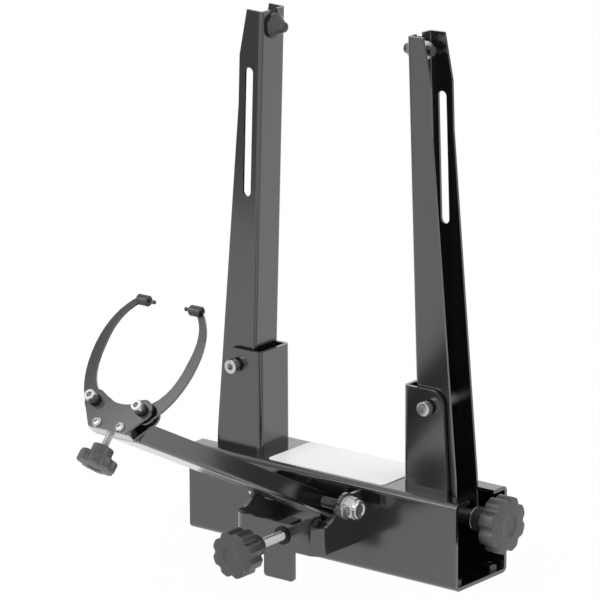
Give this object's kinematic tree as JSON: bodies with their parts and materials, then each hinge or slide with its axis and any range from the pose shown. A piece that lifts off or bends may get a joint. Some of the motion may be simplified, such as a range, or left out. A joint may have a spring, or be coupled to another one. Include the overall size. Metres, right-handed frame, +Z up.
{
  "type": "bicycle wheel truing stand",
  "caption": "Bench truing stand: pivoting channel uprights on a box base with a width spindle, and a screw-set arm that carries a rim calliper with two curved jaws.",
  "frame": {"origin": "centre of the base's underside, on the bench", "axes": "+X along the base towards the width knob, +Y to the back, away from the calliper arm, +Z up"},
  "size_m": [0.2975, 0.3534, 0.4358],
  "materials": {
    "black_paint": "satin black powder coat",
    "white_film": "smooth white film",
    "zinc": "bright zinc plate",
    "dark_steel": "blackened steel",
    "grey_steel": "plain turned steel",
    "knob_plastic": "moulded black plastic, fine texture",
    "nylon": "black nylon"
  },
  "bodies": {
    "base": {"base_tube": "black_paint", "top_plate": "white_film", "support_left": "black_paint", "support_right": "black_paint", "pivot_bolts": "zinc", "pivot_bushes": "grey_steel", "pivot_nuts": "zinc", "spindle_bearing": "black_paint", "bench_nuts": "zinc", "yoke": "black_paint", "screw_nut": "zinc", "screw_washer": "nylon", "arm_bolt": "zinc", "arm_bolt_washers": "zinc", "arm_bolt_nut": "zinc"},
    "upright_left": {"upright_left": "black_paint", "axle_cone_left": "dark_steel", "cone_nut_left": "zinc"},
    "upright_right": {"upright_right": "black_paint", "axle_cone_right": "dark_steel", "cone_nut_right": "zinc"},
    "spindle": {"width_spindle": "dark_steel", "spindle_collars": "grey_steel", "spindle_sleeve": "dark_steel", "spindle_washer": "zinc", "width_knob": "knob_plastic"},
    "nut_left": {"barrel_nut_left": "grey_steel"},
    "nut_right": {"barrel_nut_right": "grey_steel"},
    "arm": {"arm": "black_paint", "arm_bush": "grey_steel", "arm_spring": "grey_steel", "calliper_front_plate": "black_paint", "calliper_back_plate": "black_paint", "calliper_block": "black_paint", "calliper_strip": "zinc", "calliper_bolts": "zinc", "jaw_bolts": "zinc", "jaw_bolt_collars": "nylon", "jaw_bolt_nuts": "zinc", "jaw_spacers": "grey_steel", "jaw_springs": "grey_steel"},
    "pad": {"screw_pad": "grey_steel"},
    "arm_screw": {"arm_screw": "zinc", "arm_screw_knob": "knob_plastic"},
    "spreader": {"jaw_spreader": "grey_steel"},
    "calliper_screw": {"calliper_screw": "zinc", "calliper_knob": "knob_plastic"},
    "jaw_left": {"jaw_left": "black_paint", "feeler_left": "dark_steel"},
    "jaw_right": {"jaw_right": "black_paint", "feeler_right": "dark_steel"}
  },
  "joints": [
    {"name": "spindle_turn", "type": "hinge", "parent": "base", "child": "spindle", "pos_m": [0, 0, 0.052], "axis": [1, 0, 0], "range_deg": [-1413, 933]},
    {"name": "nut_left_slide", "type": "slide", "parent": "base", "child": "nut_left", "axis": [1, 0, 0], "range_m": [-0.00786, 0.0052]},
    {"name": "nut_right_slide", "type": "slide", "parent": "base", "child": "nut_right", "axis": [1, 0, 0], "range_m": [-0.0052, 0.00786]},
    {"name": "upright_left_tilt", "type": "hinge", "parent": "base", "child": "upright_left", "pos_m": [-0.097, 0, 0.142], "axis": [0, 1, 0], "range_deg": [-3.31, 5]},
    {"name": "upright_right_tilt", "type": "hinge", "parent": "base", "child": "upright_right", "pos_m": [0.097, 0, 0.142], "axis": [0, 1, 0], "range_deg": [-5, 3.31]},
    {"name": "pad_slide", "type": "slide", "parent": "base", "child": "pad", "axis": [0, 1, 0], "range_m": [-0.00735, 0.00313]},
    {"name": "arm_screw_turn", "type": "hinge", "parent": "pad", "child": "arm_screw", "pos_m": [0.007, -0.11, 0.037], "axis": [0, 1, 0], "range_deg": [-2110, 896]},
    {"name": "arm_tilt", "type": "hinge", "parent": "base", "child": "arm", "pos_m": [0, -0.054, 0.058], "axis": [1, 0, 0], "range_deg": [-20, 8.5]},
    {"name": "spreader_slide", "type": "slide", "parent": "arm", "child": "spreader", "axis": [0, 0.6626, 0.749], "range_m": [-0.00224, 0.0028]},
    {"name": "calliper_screw_turn", "type": "hinge", "parent": "spreader", "child": "calliper_screw", "pos_m": [0, -0.2954, 0.16132], "axis": [0, 0.6626, 0.749], "range_deg": [-804, 1005]},
    {"name": "jaw_left_swing", "type": "hinge", "parent": "arm", "child": "jaw_left", "pos_m": [-0.023, -0.27525, 0.18409], "axis": [0, -0.749, 0.6626], "range_deg": [-8, 10]},
    {"name": "jaw_right_swing", "type": "hinge", "parent": "arm", "child": "jaw_right", "pos_m": [0.023, -0.27525, 0.18409], "axis": [0, -0.749, 0.6626], "range_deg": [-10, 8]}
  ],
  "couplings": [
    {"joint": "nut_left_slide", "follows": "spindle_turn", "m_per_rad": 0.00031831},
    {"joint": "nut_right_slide", "follows": "spindle_turn", "m_per_rad": -0.00031831},
    {"joint": "upright_left_tilt", "follows": "spindle_turn", "ratio": -0.0035368},
    {"joint": "upright_right_tilt", "follows": "spindle_turn", "ratio": 0.0035368},
    {"joint": "pad_slide", "follows": "arm_screw_turn", "m_per_rad": 0.00019894},
    {"joint": "arm_tilt", "follows": "arm_screw_turn", "ratio": 0.0094735},
    {"joint": "spreader_slide", "follows": "calliper_screw_turn", "m_per_rad": 0.00015915},
    {"joint": "jaw_left_swing", "follows": "calliper_screw_turn", "ratio": 0.0099472},
    {"joint": "jaw_right_swing", "follows": "calliper_screw_turn", "ratio": -0.0099472}
  ]
}
